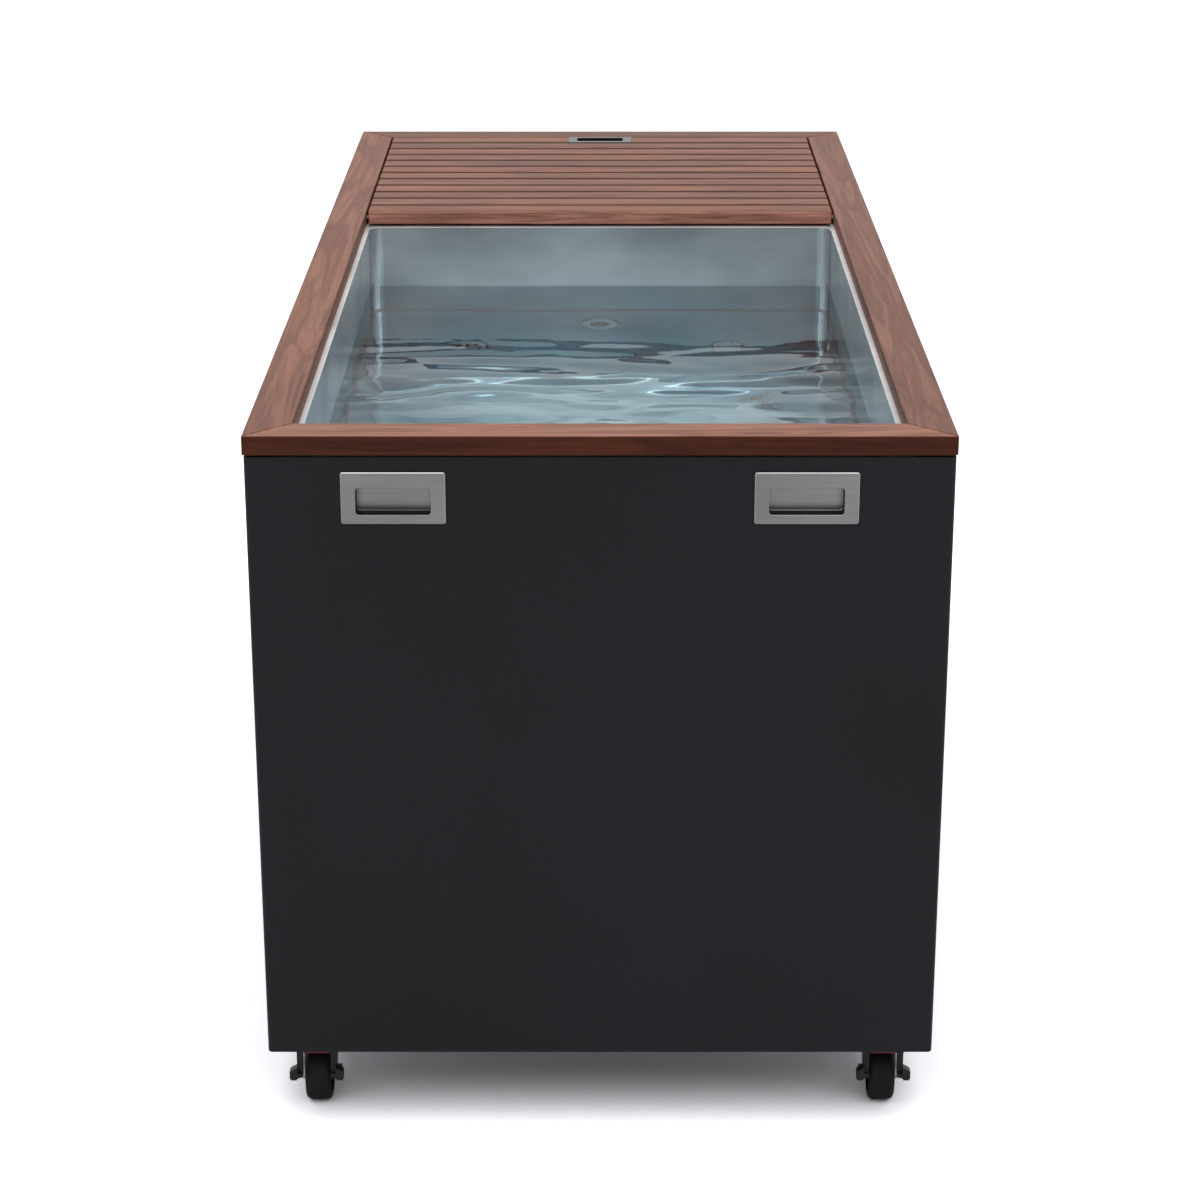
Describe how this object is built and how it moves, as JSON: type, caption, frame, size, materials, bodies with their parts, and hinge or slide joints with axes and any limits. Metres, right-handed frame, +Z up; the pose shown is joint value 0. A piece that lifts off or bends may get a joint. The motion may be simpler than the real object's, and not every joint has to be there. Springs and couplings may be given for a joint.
{
  "type": "cold plunge tub",
  "caption": "Long cold plunge tub on casters: clad body, stainless basin, mitred hardwood top frame, hinged slatted lid over a chiller bay, and flush cup handles.",
  "frame": {"origin": "on the floor under the centre of the tub", "axes": "+Z up; +X across the tub to the right seen from the front; +Y from the front end with the handles to the chiller end"},
  "size_m": [0.813, 1.83, 0.8848],
  "materials": {
    "charcoal_coat": "satin powder coat",
    "hardwood": "oiled",
    "stainless": "brushed",
    "galvanised": "galvanised",
    "zinc_plate": "zinc plated",
    "aluminium": "satin",
    "foam": "closed-cell foam",
    "wheel_rubber": "matt",
    "black_plastic": "moulded",
    "pale_plastic": "moulded",
    "black_paint": "gloss black",
    "hose": "reinforced hose",
    "brass": "cast and turned"
  },
  "bodies": {
    "tub": {"front_panel": "charcoal_coat", "rear_panel": "charcoal_coat", "left_panel": "charcoal_coat", "right_panel": "charcoal_coat", "chassis": "galvanised", "basin": "stainless", "basin_insulation": "foam", "return_fitting": "stainless", "left_suction_fitting": "stainless", "right_suction_fitting": "stainless", "front_rail": "hardwood", "rear_rail": "hardwood", "left_rail": "hardwood", "right_rail": "hardwood", "left_handle": "stainless", "right_handle": "stainless", "condenser": "aluminium", "fan_shroud": "black_plastic", "compressor": "black_paint", "circulation_pump": "black_plastic", "filter_canister": "pale_plastic", "heat_exchanger": "galvanised", "control_box": "pale_plastic", "suction_hose": "hose", "return_hose": "hose", "power_inlet": "black_plastic", "drain_valve": "brass", "front_left_caster_plate": "zinc_plate", "front_right_caster_plate": "zinc_plate", "rear_left_caster_plate": "zinc_plate", "rear_right_caster_plate": "zinc_plate"},
    "lid": {"slat_01": "hardwood", "slat_02": "hardwood", "slat_03": "hardwood", "slat_04": "hardwood", "slat_05": "hardwood", "slat_06": "hardwood", "slat_07": "hardwood", "slat_08": "hardwood", "slat_09": "hardwood", "slat_10": "hardwood", "slat_11": "hardwood", "slat_12": "hardwood", "left_strap": "aluminium", "right_strap": "aluminium", "left_pivot_pin": "stainless", "right_pivot_pin": "stainless", "lid_pull": "stainless"},
    "fan": {"fan_rotor": "pale_plastic"},
    "drain_handle": {"drain_lever": "stainless"},
    "front_left_swivel": {"front_left_fork": "zinc_plate"},
    "front_right_swivel": {"front_right_fork": "zinc_plate"},
    "rear_left_swivel": {"rear_left_fork": "zinc_plate"},
    "rear_right_swivel": {"rear_right_fork": "zinc_plate"},
    "front_left_roller": {"front_left_wheel": "wheel_rubber"},
    "front_right_roller": {"front_right_wheel": "wheel_rubber"},
    "rear_left_roller": {"rear_left_wheel": "wheel_rubber"},
    "rear_right_roller": {"rear_right_wheel": "wheel_rubber"},
    "front_left_brake": {"front_left_brake_pedal": "black_paint"},
    "front_right_brake": {"front_right_brake_pedal": "black_paint"}
  },
  "joints": [
    {"name": "lid_hinge", "type": "hinge", "parent": "tub", "child": "lid", "pos_m": [0, 0.283, 0.873], "axis": [1, 0, 0], "range_deg": [0, 95]},
    {"name": "fan_spin", "type": "hinge", "parent": "tub", "child": "fan", "pos_m": [-0.19, 0.848, 0.2656], "axis": [0, 1, 0], "continuous": true},
    {"name": "drain_turn", "type": "hinge", "parent": "tub", "child": "drain_handle", "pos_m": [0.307, 0.174, 0.045], "axis": [0, 0, 1], "range_deg": [-90, 0]},
    {"name": "front_left_caster_swivel", "type": "hinge", "parent": "tub", "child": "front_left_swivel", "pos_m": [-0.35, -0.809, 0.086], "axis": [0, 0, 1], "continuous": true},
    {"name": "front_right_caster_swivel", "type": "hinge", "parent": "tub", "child": "front_right_swivel", "pos_m": [0.35, -0.809, 0.086], "axis": [0, 0, 1], "continuous": true},
    {"name": "rear_left_caster_swivel", "type": "hinge", "parent": "tub", "child": "rear_left_swivel", "pos_m": [-0.35, 0.809, 0.086], "axis": [0, 0, 1], "continuous": true},
    {"name": "rear_right_caster_swivel", "type": "hinge", "parent": "tub", "child": "rear_right_swivel", "pos_m": [0.35, 0.809, 0.086], "axis": [0, 0, 1], "continuous": true},
    {"name": "front_left_wheel_roll", "type": "hinge", "parent": "front_left_swivel", "child": "front_left_roller", "pos_m": [-0.35, -0.841, 0.03693], "axis": [1, 0, 0], "continuous": true},
    {"name": "front_right_wheel_roll", "type": "hinge", "parent": "front_right_swivel", "child": "front_right_roller", "pos_m": [0.35, -0.841, 0.03693], "axis": [1, 0, 0], "continuous": true},
    {"name": "rear_left_wheel_roll", "type": "hinge", "parent": "rear_left_swivel", "child": "rear_left_roller", "pos_m": [-0.35, 0.841, 0.03693], "axis": [1, 0, 0], "continuous": true},
    {"name": "rear_right_wheel_roll", "type": "hinge", "parent": "rear_right_swivel", "child": "rear_right_roller", "pos_m": [0.35, 0.841, 0.03693], "axis": [1, 0, 0], "continuous": true},
    {"name": "front_left_brake_press", "type": "hinge", "parent": "front_left_swivel", "child": "front_left_brake", "pos_m": [-0.35, -0.817, 0.076], "axis": [1, 0, 0], "range_deg": [0, 12]},
    {"name": "front_right_brake_press", "type": "hinge", "parent": "front_right_swivel", "child": "front_right_brake", "pos_m": [0.35, -0.817, 0.076], "axis": [1, 0, 0], "range_deg": [0, 12]}
  ]
}
